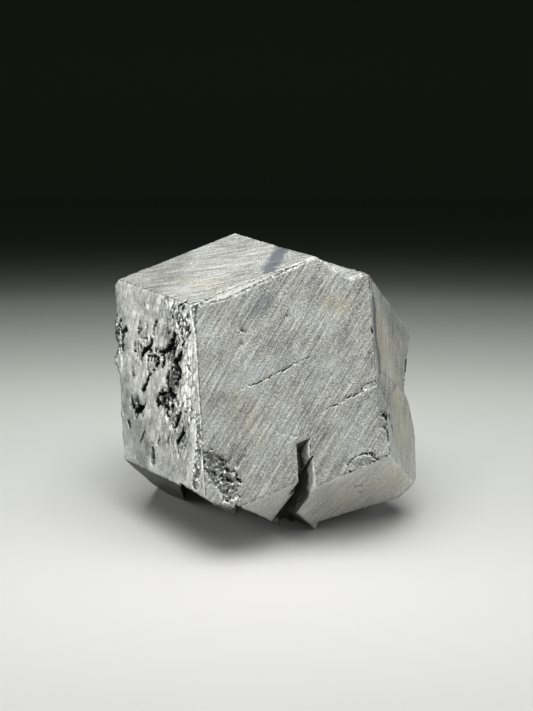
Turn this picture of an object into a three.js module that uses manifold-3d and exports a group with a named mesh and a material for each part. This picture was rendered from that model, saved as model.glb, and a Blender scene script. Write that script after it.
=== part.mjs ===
// Magnetite specimen: one dodecahedral crystal, broken off its matrix and resting on its broken base.
// Millimetres, +Z up. The crystal's front face looks towards -Y, and the base rests on z = 0.
// The solid is a cluster of parallel growths: each is a rhombic dodecahedron in the same crystal axes
// with its own face distances, so all of their faces are parallel and the outline has steps.

import * as THREE from 'three';
import { mergeVertices } from 'three/addons/utils/BufferGeometryUtils.js';
import Module from 'manifold-3d';

const wasm = await Module();
wasm.setup();

// The dodecahedron's twelve faces: Miller indices, named by where they face as the crystal rests.
const MILLER = {
  top: [0, 1, 1],
  left: [1, 0, 1],
  front: [1, 1, 0],
  upper_back: [-1, 0, 1],
  upper_right: [-1, 1, 0],
  right: [0, 1, -1],
  lower_front: [1, 0, -1],
  left_back: [0, -1, 1],
  lower_left: [1, -1, 0],
  under: [0, -1, -1],
  right_back: [-1, 0, -1],
  back: [-1, -1, 0],
};

// Face distances from the crystal's centre. The shared faces run over every growth.
const SHARED = { left: 16.4, front: 14.8, upper_back: 15.6, left_back: 15.95, back: 14.5 };
const MAIN = { top: 16.8, upper_right: 13.5, right: 17.0, lower_front: 18.95, right_back: 11.8 };
const UPPER_RIGHT = { top: 13.3, upper_right: 15.1, right: 16.98, lower_front: 17, right_back: 15.0 };
const LOWER_RIGHT = {
  top: 12, left: 5.2, upper_right: 6.5, right: 17.9, lower_front: 20.15, lower_left: 14.2, right_back: 12.6,
};
const LOWER_MIDDLE = { top: 12, upper_right: 10, right: 14, lower_front: 18.9 };
const LOWER_LEFT = { top: 12, upper_right: 10, right: 14, lower_front: 17, lower_left: 18.4 };

// A negative distance keeps only what lies beyond the opposite face, so these blocks are pockets.
const SLOT = { left: 6.6, right_back: -5.3, upper_back: -15.3, back: -13.1 };
const CHANNEL = { left: 6.1, right_back: -4.9, upper_back: -17.1 };
const THROAT = { left: 6.1, upper_right: -13.7, upper_back: -17.4 };
const THROAT_START_X = 1.7;

// Where single growths end on faces that are no crystal faces.
const LEDGE_NORMAL = [-0.231, -0.946, 0.231];
const LEDGE_DISTANCE = -11.63;
const SHOULDER_RISE = 0.9;
const SHOULDER_RUN = 3.3;
const SHOULDER_DISTANCE = 17.03;
const LOWER_MIDDLE_END_X = -3.6;
const LOWER_RIGHT_END_X = 18.65;
const LOWER_RIGHT_LEAN_DEG = 13.3;
const LOWER_RIGHT_LEAN_DISTANCE = 16.9;

// The broken underside along the front and left, a little flatter than the crystal face there.
const UNDERCUT_NORMAL = [-0.488, -0.327, -0.81];
const MAIN_UNDERCUT = 15.15;
const LOWER_MIDDLE_UNDERCUT = 16.3;

// The worn edge between top and front: its middle point on each face, and its two ends.
const WORN_EDGE_LEFT = [10.18, 10.75, 13.01];
const WORN_EDGE_RIGHT = [1.85, 19.08, 4.68];
const WORN_EDGE_ON_FRONT = [8.3, 12.64, 10.3];
const WORN_EDGE_ON_TOP = [7.55, 12.5, 11.23];

// The resting position: the crystal axes' turn, and the centre's height over the surface.
const TURN_DEG = [-13.3, -57.3, -119.4];
const CENTRE_HEIGHT = 14.7;

// The broken base: level on the left, rising gently to the right, with a broken corner.
const BASE_GAP = 0.6;
const BASE_RISE_DEG = 6.1;
const BASE_RISE_HEIGHT = 0.65;
const CORNER_SLOPE_DEG = 44;
const CORNER_DISTANCE = 20.2;

// The three parts that reach the surface: the lower left growth, the lower tip of the lower right
// growth, and a broken stub under the back. Places are from the crystal's centre.
const LOWER_LEFT_END_X = -10.3;
const LOWER_LEFT_END_Y = 2.2;
const LOWER_LEFT_LEAN_DEG = 14.9;
const LOWER_LEFT_LEAN_DISTANCE = 19.18;
const TOE_END_X = 6.3;
const TOE_END_Y = -11.2;
const HEEL = { x: 5.0, y: 2.4, radius: 2.7, flare: 0.5, sides: 9 };
const ROOT = 1.4;

const REACH = 60;
const Z_AXIS = new THREE.Vector3(0, 0, 1);
const turn = new THREE.Matrix4().makeRotationFromEuler(
  new THREE.Euler(...TURN_DEG.map(THREE.MathUtils.degToRad), 'XYZ'),
);
const unturn = turn.clone().invert();

function toSolid(geometry) {
  const bare = geometry.clone();
  bare.deleteAttribute('normal');
  bare.deleteAttribute('uv');
  const merged = mergeVertices(bare);
  const mesh = new wasm.Mesh({
    numProp: 3,
    vertProperties: new Float32Array(merged.attributes.position.array),
    triVerts: new Uint32Array(merged.index.array),
  });
  return new wasm.Manifold(mesh);
}

function toGeometry(solid) {
  const mesh = solid.getMesh();
  const geometry = new THREE.BufferGeometry();
  geometry.setAttribute('position', new THREE.BufferAttribute(mesh.vertProperties, 3));
  geometry.setIndex(new THREE.BufferAttribute(mesh.triVerts, 1));
  return geometry;
}

function facePlane(name, distance) {
  return new THREE.Plane(new THREE.Vector3(...MILLER[name]).normalize(), -distance);
}

// A plane given in the resting position, in crystal axes.
function restPlane(normal, distance) {
  return new THREE.Plane(new THREE.Vector3(...normal).normalize(), -distance).applyMatrix4(unturn);
}

// Everything on the outer side of a plane, as a large box.
function outside(plane) {
  const box = new THREE.BoxGeometry(2 * REACH, 2 * REACH, REACH);
  box.translate(0, 0, REACH / 2);
  box.applyQuaternion(new THREE.Quaternion().setFromUnitVectors(Z_AXIS, plane.normal));
  box.translate(...plane.coplanarPoint(new THREE.Vector3()).toArray());
  return toSolid(box);
}

function cutBy(solid, planes) {
  return planes.reduce((left, plane) => left.subtract(outside(plane)), solid);
}

// The block inside a set of crystal faces, and inside any further planes.
function growth(distances, planes = []) {
  const start = toSolid(new THREE.BoxGeometry(REACH, REACH, REACH));
  const faces = Object.entries(distances).map(([name, distance]) => facePlane(name, distance));
  return cutBy(start, [...faces, ...planes]);
}

function shoulderPlane() {
  const normal = new THREE.Vector3(...MILLER.right).multiplyScalar(SHOULDER_RUN);
  normal.addScaledVector(new THREE.Vector3(...MILLER.top), SHOULDER_RISE);
  return new THREE.Plane(normal.normalize(), -SHOULDER_DISTANCE);
}

// A plane through one end of the edge between top and front and through its worn middle.
function wornEdgePlane(end) {
  const points = [end, WORN_EDGE_ON_FRONT, WORN_EDGE_ON_TOP].map((point) => new THREE.Vector3(...point));
  const plane = new THREE.Plane().setFromCoplanarPoints(...points);
  return plane.normal.y < 0 ? plane.negate() : plane;
}

function lowerRightEnds() {
  const lean = THREE.MathUtils.degToRad(LOWER_RIGHT_LEAN_DEG);
  return [
    restPlane([1, 0, 0], LOWER_RIGHT_END_X),
    restPlane([Math.cos(lean), 0, Math.sin(lean)], LOWER_RIGHT_LEAN_DISTANCE),
  ];
}

function undercut(distance) {
  return restPlane(UNDERCUT_NORMAL, distance);
}

// The stretch of a growth that goes on past the broken base, down to the surface.
function toSurface(distances, endX, endY, ends = []) {
  return growth({ ...distances, ...SHARED }, [
    restPlane([1, 0, 0], endX),
    restPlane([0, 1, 0], endY),
    restPlane([0, 0, -1], CENTRE_HEIGHT),
    ...ends,
  ]);
}

function lowerLeft() {
  const lean = THREE.MathUtils.degToRad(LOWER_LEFT_LEAN_DEG);
  const flank = restPlane([-Math.cos(lean), 0, -Math.sin(lean)], LOWER_LEFT_LEAN_DISTANCE);
  return toSurface(LOWER_LEFT, LOWER_LEFT_END_X, LOWER_LEFT_END_Y, [flank]);
}

function toe() {
  const top = restPlane([0, 0, 1], BASE_GAP + ROOT - CENTRE_HEIGHT);
  return toSurface(LOWER_RIGHT, TOE_END_X, TOE_END_Y, [top]);
}

function basePlanes() {
  const rise = THREE.MathUtils.degToRad(BASE_RISE_DEG);
  const corner = THREE.MathUtils.degToRad(CORNER_SLOPE_DEG);
  return [
    restPlane([0, 0, -1], CENTRE_HEIGHT - BASE_GAP),
    restPlane([Math.sin(rise), 0, -Math.cos(rise)], CENTRE_HEIGHT - BASE_RISE_HEIGHT),
    restPlane([Math.sin(corner), 0, -Math.cos(corner)], CORNER_DISTANCE),
  ];
}

function crystal() {
  const ledge = new THREE.Plane(new THREE.Vector3(...LEDGE_NORMAL).normalize(), -LEDGE_DISTANCE);
  const cluster = growth(MAIN, [undercut(MAIN_UNDERCUT)])
    .add(growth(UPPER_RIGHT, [ledge]))
    .add(growth(LOWER_RIGHT, [shoulderPlane(), ...lowerRightEnds()]))
    .add(growth(LOWER_MIDDLE, [undercut(LOWER_MIDDLE_UNDERCUT), restPlane([1, 0, 0], LOWER_MIDDLE_END_X)]));
  const faced = cutBy(cluster, Object.entries(SHARED).map(([name, distance]) => facePlane(name, distance)));
  const wear = outside(wornEdgePlane(WORN_EDGE_LEFT)).intersect(outside(wornEdgePlane(WORN_EDGE_RIGHT)));
  return cutBy(faced, basePlanes())
    .subtract(wear)
    .add(lowerLeft())
    .add(toe())
    .subtract(growth(SLOT))
    .subtract(growth(CHANNEL))
    .subtract(growth(THROAT, [restPlane([-1, 0, 0], -THROAT_START_X)]));
}

// A short flared stub from inside the base down to its flat end.
function heel() {
  const height = BASE_GAP + ROOT;
  const stub = new THREE.CylinderGeometry(HEEL.radius + HEEL.flare, HEEL.radius, height, HEEL.sides);
  stub.rotateX(Math.PI / 2);
  stub.translate(HEEL.x, HEEL.y, height / 2);
  return toSolid(stub);
}

function restingSolid() {
  const stone = toGeometry(crystal());
  stone.applyMatrix4(turn);
  stone.translate(0, 0, CENTRE_HEIGHT);
  return toSolid(stone).add(heel());
}

const magnetite = new THREE.MeshStandardMaterial({ color: 0x7d7f7e, metalness: 0.85, roughness: 0.42 });
const specimen = new THREE.Mesh(toGeometry(restingSolid()), magnetite);
specimen.name = 'magnetite_crystal';

// The origin is at the middle of the specimen's box, on the surface that it rests on.
specimen.geometry.computeBoundingBox();
const middle = specimen.geometry.boundingBox.getCenter(new THREE.Vector3());
specimen.position.set(-middle.x, -middle.y, 0);

const group = new THREE.Group();
group.add(specimen);

export default group;
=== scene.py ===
"""Magnetite crystal specimen: its surface, finish, light and camera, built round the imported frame.

The object is one cluster of parallel dodecahedral growths in a single crystal orientation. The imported
solid gives every plane of it. This script dices a copy of that solid into a fine mesh, carves each
face's own relief into it, and dresses it. Lengths are millimetres until a mesh is finished.
"""

import logging
import math
from collections.abc import Iterator
from dataclasses import dataclass, field
from enum import Enum

import bmesh
import bpy
import numpy as np
from mathutils import Matrix, Vector, noise
from mathutils.kdtree import KDTree

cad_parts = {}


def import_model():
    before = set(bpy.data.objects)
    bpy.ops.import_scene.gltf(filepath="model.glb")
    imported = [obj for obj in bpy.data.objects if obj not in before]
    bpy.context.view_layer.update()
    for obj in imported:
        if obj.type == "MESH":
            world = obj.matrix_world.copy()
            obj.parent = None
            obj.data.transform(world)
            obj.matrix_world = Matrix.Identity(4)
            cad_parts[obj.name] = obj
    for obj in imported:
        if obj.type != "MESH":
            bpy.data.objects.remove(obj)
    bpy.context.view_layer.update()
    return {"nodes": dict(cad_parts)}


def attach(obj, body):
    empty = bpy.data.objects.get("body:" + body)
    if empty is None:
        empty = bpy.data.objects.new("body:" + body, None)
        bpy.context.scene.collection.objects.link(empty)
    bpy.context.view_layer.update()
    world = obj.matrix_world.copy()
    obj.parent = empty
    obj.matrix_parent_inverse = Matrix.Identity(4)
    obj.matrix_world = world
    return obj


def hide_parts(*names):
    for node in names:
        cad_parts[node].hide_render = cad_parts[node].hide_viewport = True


LOG = logging.getLogger("magnetite")
METRES_PER_MM = 0.001
CAD_NODE = "magnetite_crystal"
MARKS = ("pit", "granular", "dusky", "rusty", "crazed", "chips_and_painted_light", "shaded", "sleek")

Point = tuple[float, float]
Tree = bpy.types.NodeTree
Socket = bpy.types.NodeSocket


class Kind(Enum):
    """What a facet of the solid is: one of the faces with a finish of its own, another, or a break."""

    TOP = "top"
    LEFT = "left"
    FRONT = "front"
    RIGHT = "right"
    LOWER_FRONT = "lower front"
    OTHER = "other crystal face"
    CREVICE = "floor of a gap between two growths"
    GAP_WALL = "wall of a gap between two growths"
    UNDER = "crystal face that looks down"
    WORN = "worn or stepped surface"
    BEVEL = "worn edge between top and front"
    BROKEN = "broken underside"


@dataclass(frozen=True)
class FaceAxes:
    """One face of the dodecahedron in crystal axes.

    Attributes:
        kind: Which finish it has.
        normal: Miller indices of the face.
        upright: The direction in the face that counts as up.
        streak_deg: How far its striations lean up from the face's sideways axis.
        level: How many times its mesh cells are halved.
    """

    kind: Kind
    normal: tuple[int, int, int]
    upright: tuple[int, int, int]
    streak_deg: float
    level: int = 2


FACES = (
    FaceAxes(Kind.TOP, (0, 1, 1), (-1, 0, 0), 3.0, 3),
    FaceAxes(Kind.LEFT, (1, 0, 1), (-1, 1, 1), 62.0, 3),
    FaceAxes(Kind.FRONT, (1, 1, 0), (-1, 1, 1), 56.0, 3),
    FaceAxes(Kind.RIGHT, (0, 1, -1), (-1, 1, 1), 82.0),
    FaceAxes(Kind.LOWER_FRONT, (1, 0, -1), (1, 2, 1), 40.0),
    FaceAxes(Kind.OTHER, (-1, 0, 1), (1, 2, 1), 8.0),
    FaceAxes(Kind.OTHER, (-1, 1, 0), (1, 1, 2), 12.0),
    FaceAxes(Kind.OTHER, (0, -1, 1), (-1, 1, 1), 70.0),
    FaceAxes(Kind.OTHER, (1, -1, 0), (1, 1, 2), 50.0),
    FaceAxes(Kind.OTHER, (0, -1, -1), (1, 0, 0), 15.0),
    FaceAxes(Kind.OTHER, (-1, 0, -1), (-1, 1, 1), 60.0),
    FaceAxes(Kind.OTHER, (-1, -1, 0), (-1, 1, 1), 55.0),
)
SAME_NORMAL = 0.9995
# How steeply a facet has to look down to count as underside.
DOWN_FACE = -0.6
DOWN_BREAK = -0.3
# Stepped surfaces whose middle is lower than this get the underside's painted shade.
LOW_STEP_MM = 5.5
# So do steps on the lower front with a smaller area than this.
SMALL_STEP_MM2 = 5.0
# The worn edge between top and front looks this way, in crystal axes.
BEVEL_WAY = (1, 2, 1)
NEAR_BEVEL = 0.93
# How far the front and left faces are from the crystal's centre.
FRONT_DISTANCE = 14.8
LEFT_DISTANCE = 16.4
# The relief of a surface that is no crystal face: how its streaks lean and how often its cells are halved.
BREAK_STREAK_DEG = 35.0
BREAK_LEVEL = 2


@dataclass(frozen=True)
class CrystalAxes:
    """How the crystal's own axes lie in the frame, as the solid was turned to rest on its base."""

    turn_deg: tuple[float, float, float] = (-13.3, -57.3, -119.4)
    centre: tuple[float, float, float] = (0.254, 1.398, 14.7)

    def turn(self) -> np.ndarray:
        """Gives the matrix that takes crystal axes to the frame's."""
        x, y, z = (math.radians(angle) for angle in self.turn_deg)
        about_x = Matrix.Rotation(x, 3, "X")
        about_y = Matrix.Rotation(y, 3, "Y")
        about_z = Matrix.Rotation(z, 3, "Z")
        return np.array(about_x @ about_y @ about_z)

    def to_crystal(self, points: np.ndarray) -> np.ndarray:
        """Takes points from the frame to crystal axes.

        Args:
            points: Rows of x, y, z in millimetres.

        Returns:
            The same points from the crystal's centre, in its own axes.
        """
        return (points - np.array(self.centre)) @ self.turn()


@dataclass(frozen=True)
class Groove:
    """A pit, crack or scratch along a short run of points on a face.

    Attributes:
        run: Points on the face, sideways and up, in millimetres from the crystal's centre.
        width: Half width at the first point.
        depth: How deep it goes.
        end_width: Half width at the last point, if it isn't the same.
        dark: How dark its bottom looks, from 0 to 1.
        rough: How granular it makes the surface, from 0 to 1.
    """

    run: tuple[Point, ...]
    width: float
    depth: float
    end_width: float | None = None
    dark: float = 1.0
    rough: float = 0.0

    def cover(self, spots: np.ndarray, wall: float, grow: float = 0.0) -> np.ndarray:
        """Says how far inside the groove each spot is.

        Args:
            spots: Rows of places on the face.
            wall: How wide the groove's walls are.
            grow: How much wider than the groove the result is.

        Returns:
            0 outside the groove, 1 on its floor, for each spot.
        """
        last = self.width if self.end_width is None else self.end_width
        best = np.zeros(len(spots))
        points = np.array(self.run if len(self.run) > 1 else (self.run[0], self.run[0]), float)
        steps = len(points) - 1
        for i in range(steps):
            a, b = points[i], points[i + 1]
            along = b - a
            share = np.clip((spots - a) @ along / max(along @ along, 1e-9), 0.0, 1.0)
            gap = np.linalg.norm(spots - (a + share[:, None] * along), axis=1)
            half = grow + self.width + (last - self.width) * (i + share) / steps
            best = np.maximum(best, np.clip((half - gap) / wall + 0.5, 0.0, 1.0))
        return best * best * (3 - 2 * best)


@dataclass(frozen=True)
class PitCluster:
    """A patch of many small pits that lean the same way.

    Attributes:
        centre: Middle of the patch on the face.
        radii: Its half sizes, along and across the lean.
        lean_deg: Which way the pits and the patch run.
        count: How many pits.
        length: The longest pit's length.
        width: The widest pit's half width.
        depth: The deepest pit's depth.
        seed: Start of its random draws.
        dark: How dark its pits look, from 0 to 1.
    """

    centre: Point
    radii: Point
    lean_deg: float
    count: int
    length: float
    width: float
    depth: float
    seed: int
    dark: float = 1.0

    def grooves(self) -> Iterator[Groove]:
        """Yields its pits one by one."""
        draw = np.random.default_rng(self.seed)
        lean = math.radians(self.lean_deg)
        along = np.array((math.cos(lean), math.sin(lean)))
        across = np.array((-along[1], along[0]))
        for _ in range(self.count):
            out = math.sqrt(draw.uniform())
            about = draw.uniform(0, 2 * math.pi)
            middle = np.array(self.centre) + out * (
                math.cos(about) * self.radii[0] * along + math.sin(about) * self.radii[1] * across
            )
            bend = draw.normal(0, 0.45)
            way = math.cos(bend) * along + math.sin(bend) * across
            reach = way * self.length * draw.uniform(0.2, 0.5)
            share = draw.uniform(0.45, 1.0)
            run = (tuple(middle - reach), tuple(middle + reach))
            yield Groove(run, self.width * share, self.depth * share, dark=self.dark * share)


@dataclass(frozen=True)
class Patch:
    """A soft-edged patch of colour along a run of points on a face.

    Attributes:
        run: Points on the face.
        width: Half width.
        soft: How wide its edge is.
        strength: How strong it is in the middle.
    """

    run: tuple[Point, ...]
    width: float
    soft: float
    strength: float = 1.0

    def cover(self, spots: np.ndarray) -> np.ndarray:
        """Gives the patch's strength at each spot."""
        return Groove(self.run, self.width, 0.0).cover(spots, self.soft) * self.strength


@dataclass(frozen=True)
class FaceRelief:
    """All that is drawn on one face.

    Attributes:
        grooves: Single pits, cracks and scratches.
        clusters: Patches of small pits.
        worn: Wide rough patches where the surface broke away.
        dusky: Dark bluish patches: a film in places, and painted shade where a face would reflect the dark
            surroundings, as the band on the top face.
        rusty: Patches with a thin yellow film.
        crazed: Patches crossed by a net of fine cracks.
        chips_and_painted_light: Pale patches: chips and glints, and painted light that makes faces and gap
            walls paler than the lamps leave them.
        shade: Darker patches: painted shade, as at the front's lower tip by the base, and dark smudges.
        shaded: How much painted shade the whole face gets, from 0 to 1, as in gaps and under the crystal.
        sleek: How much smoother and glossier the whole face is, from 0 to 1.
        ripple: Height of the face's striations.
        swell: Height of its broad unevenness.
    """

    grooves: tuple[Groove, ...] = ()
    clusters: tuple[PitCluster, ...] = ()
    worn: tuple[Groove, ...] = ()
    dusky: tuple[Patch, ...] = ()
    rusty: tuple[Patch, ...] = ()
    crazed: tuple[Patch, ...] = ()
    chips_and_painted_light: tuple[Patch, ...] = ()
    shade: tuple[Patch, ...] = ()
    shaded: float = 0.0
    sleek: float = 0.0
    ripple: float = 0.012
    swell: float = 0.04

    def all_grooves(self) -> Iterator[Groove]:
        """Yields single grooves, worn patches and the pits of every cluster."""
        yield from self.grooves
        yield from self.worn
        for cluster in self.clusters:
            yield from cluster.grooves()


LEFT_RELIEF = FaceRelief(
    grooves=(
        Groove(((-8.1, 8.2),), 0.22, 0.3),
        Groove(((-7.1, 7.1), (-6.9, 6.7)), 0.24, 0.3),
        Groove(((-4.3, 6.8), (-4.3, 6.0)), 0.08, 0.2, 0.14),
        Groove(((-0.4, 7.0), (-0.9, 6.4), (-1.4, 5.5)), 0.16, 0.4, 0.05),
        Groove(((-1.5, 4.9), (-1.6, 4.6), (-2.2, 4.1)), 0.1, 0.6, 0.3),
        Groove(((-2.2, 4.1), (-3.4, 3.7), (-3.9, 3.3)), 0.3, 0.8, 0.34),
        Groove(((-4.0, 3.2), (-4.1, 2.7), (-3.8, 2.1)), 0.12, 0.5, 0.06),
        Groove(((-2.9, 5.3), (-2.5, 5.0)), 0.08, 0.2),
        Groove(((3.2, 4.8), (2.9, 4.5), (1.9, 3.7)), 0.3, 0.9, 0.24),
        Groove(((1.9, 3.7), (1.1, 3.1), (0.4, 2.9)), 0.26, 0.9, 0.3),
        Groove(((0.4, 2.9), (0.9, 2.0), (0.3, 1.2)), 0.2, 0.6, 0.14),
        Groove(((-2.6, 3.0), (-0.9, 2.8)), 0.07, 0.25, 0.12),
        Groove(((4.4, 2.5), (3.9, 2.0), (3.0, 1.6)), 0.26, 0.8, 0.34),
        Groove(((3.1, 1.5), (3.4, 0.9), (3.9, 0.3)), 0.22, 0.7, 0.3),
        Groove(((-0.3, 2.5), (-0.9, 1.6)), 0.18, 0.4, 0.26),
        Groove(((5.5, 0.9), (6.0, 0.1)), 0.16, 0.4, 0.06),
        Groove(((-6.1, 2.1), (-6.0, 0.9)), 0.05, 0.35, 0.22),
        Groove(((-2.8, 1.6), (-2.4, 0.6)), 0.07, 0.4, 0.14),
        Groove(((-2.4, 0.6), (-3.1, -0.1), (-3.9, -1.0)), 0.14, 0.7, 0.3),
        Groove(((-2.4, 0.6), (-1.1, 1.3)), 0.08, 0.25, 0.04),
        Groove(((1.6, 0.5), (1.1, -0.7), (1.5, -1.9)), 0.18, 0.7, 0.2),
        Groove(((1.5, -1.9), (1.8, -2.6)), 0.2, 0.5, 0.1),
        Groove(((2.6, 0.1), (3.9, -0.4)), 0.1, 0.5, 0.2),
        Groove(((2.8, -1.1), (4.0, 0.3)), 0.22, 0.6, 0.12),
        Groove(((-0.7, -1.8), (-1.3, -2.6), (-1.0, -3.4)), 0.14, 0.5, 0.2),
        Groove(((-0.7, -2.0), (1.6, -1.9), (2.7, -2.5)), 0.12, 0.35, 0.16),
        Groove(((2.6, -2.6), (3.1, -3.6)), 0.16, 0.4, 0.1),
        Groove(((-0.1, -2.2), (0.4, -3.1)), 0.1, 0.3, 0.14),
        Groove(((-6.5, -1.6), (-6.4, -2.9)), 0.12, 0.4, 0.24),
        Groove(((-5.7, -3.5), (-4.4, -3.1)), 0.3, 0.5, 0.2),
        Groove(((1.0, -3.6), (0.7, -4.7), (1.3, -4.9)), 0.14, 0.3, 0.08),
        Groove(((3.3, -4.8), (3.0, -5.4), (2.3, -6.2)), 0.3, 0.7, 0.2),
        Groove(((3.9, -7.1), (3.2, -7.6), (2.5, -8.1)), 0.24, 0.7, 0.3),
        Groove(((-2.6, -7.9), (-2.7, -10.0)), 0.06, 0.8, 0.4),
        Groove(((-1.0, -7.1), (-1.5, -8.1)), 0.08, 0.4, 0.14),
        Groove(((-4.2, -6.2), (-5.4, -7.5)), 0.1, 0.25, 0.05),
        Groove(((-7.5, -4.6), (-7.3, -5.4)), 0.2, 0.3, 0.1),
        Groove(((5.3, 8.4), (4.4, 8.2)), 0.12, 0.2, 0.05),
        Groove(((2.9, 8.9), (3.6, 7.2), (4.1, 5.8)), 0.04, 0.1, 0.06, 0.8),
        Groove(((3.9, 9.4), (2.6, 7.6)), 0.03, 0.08, 0.05, 0.7),
        Groove(((6.1, 5.6), (5.2, 4.6), (4.6, 3.3)), 0.05, 0.15, 0.08, 0.9),
    ),
    clusters=(
        PitCluster((2.5, 3.3), (1.5, 0.9), 52.0, 40, 0.5, 0.15, 0.42, 11),
        PitCluster((2.4, -0.2), (2.3, 1.4), 70.0, 40, 0.45, 0.13, 0.35, 12, 0.9),
        PitCluster((0.9, -2.7), (1.2, 2.2), 75.0, 44, 0.5, 0.15, 0.4, 13),
        PitCluster((4.4, 5.9), (3.0, 2.2), 55.0, 64, 0.7, 0.1, 0.2, 14, 1.0),
        PitCluster((3.2, -6.0), (4.2, 2.4), 65.0, 40, 0.8, 0.08, 0.15, 15, 0.9),
        PitCluster((-5.3, -3.1), (1.1, 1.5), 60.0, 16, 0.7, 0.2, 0.3, 16, 0.8),
        PitCluster((-3.3, 5.2), (2.8, 2.2), 62.0, 26, 0.6, 0.12, 0.25, 17, 0.9),
        PitCluster((-1.3, 2.8), (2.2, 1.4), 60.0, 26, 0.5, 0.14, 0.3, 18, 1.0),
        PitCluster((-7.9, 6.4), (2.0, 0.7), 95.0, 16, 0.5, 0.18, 0.3, 19, 0.95),
        PitCluster((-5.6, -8.2), (1.4, 2.4), 50.0, 14, 0.9, 0.06, 0.1, 20, 0.4),
    ),
    worn=(
        Groove(((7.2, 7.4), (7.7, 4.4)), 0.42, 0.12, 0.3, 0.25, 1.0),
        Groove(((6.9, -5.0), (6.9, -8.0), (6.4, -10.6), (5.8, -13.4)), 0.35, 0.08, 0.7, 0.12, 1.0),
        Groove(((-8.9, 8.4), (-8.8, 4.2)), 0.4, 0.15, 0.4, 0.3, 1.0),
        Groove(((2.6, 3.9), (2.0, 3.2)), 0.45, 0.12, 0.4, 0.2, 1.0),
        Groove(((2.8, 0.4), (2.2, -1.2)), 0.7, 0.14, 0.6, 0.2, 1.0),
        Groove(((0.2, -2.4), (1.8, -2.4)), 0.6, 0.14, 0.6, 0.2, 1.0),
        Groove(((-5.6, -2.4), (-5.0, -3.4)), 0.5, 0.12, 0.6, 0.3, 0.8),
    ),
    # The two big patches are painted light on the right of the face; the small ones are chips.
    chips_and_painted_light=(
        Patch(((5.6, 2.0), (5.4, -4.4)), 1.1, 1.4, 0.9),
        Patch(((4.2, 8.2), (5.4, 3.6)), 1.5, 2.2, 0.75),
        Patch(((2.5, -9.9),), 0.2, 0.2),
        Patch(((-2.2, 9.2), (-1.8, 8.7)), 0.25, 0.3),
        Patch(((3.2, -12.2), (3.5, -12.9)), 0.12, 0.2, 0.9),
    ),
    crazed=(
        Patch(((3.6, 9.0), (4.6, 4.0), (4.4, -4.6)), 2.6, 1.6),
        Patch(((1.5, 8.0), (1.2, 4.0), (1.4, -4.6)), 2.2, 2.6, 0.65),
        Patch(((-3.0, 5.0), (-2.0, -3.0)), 1.4, 3.0, 0.45),
        Patch(((3.0, -5.0), (3.0, -11.0)), 2.4, 2.4, 0.7),
    ),
    shade=(
        Patch(((-7.6, 1.0), (-7.0, -5.0)), 1.6, 2.2, 0.35),
        Patch(((-5.4, -6.0), (-5.0, -13.0)), 2.4, 2.6, 0.34),
        Patch(((-0.6, -7.4), (1.6, -12.0)), 1.0, 1.6, 0.22),
        Patch(((2.2, 0.6), (1.2, -2.4)), 0.9, 1.6, 0.12),
    ),
    dusky=(
        Patch(((-7.3, -3.6), (-6.0, -12.0), (0.0, -13.0)), 2.0, 2.4, 0.3),
        Patch(((-6.2, -1.8), (-4.4, -3.4)), 0.5, 1.6, 0.5),
    ),
    sleek=1.0,
    ripple=0.014,
    swell=0.09,
)

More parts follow.
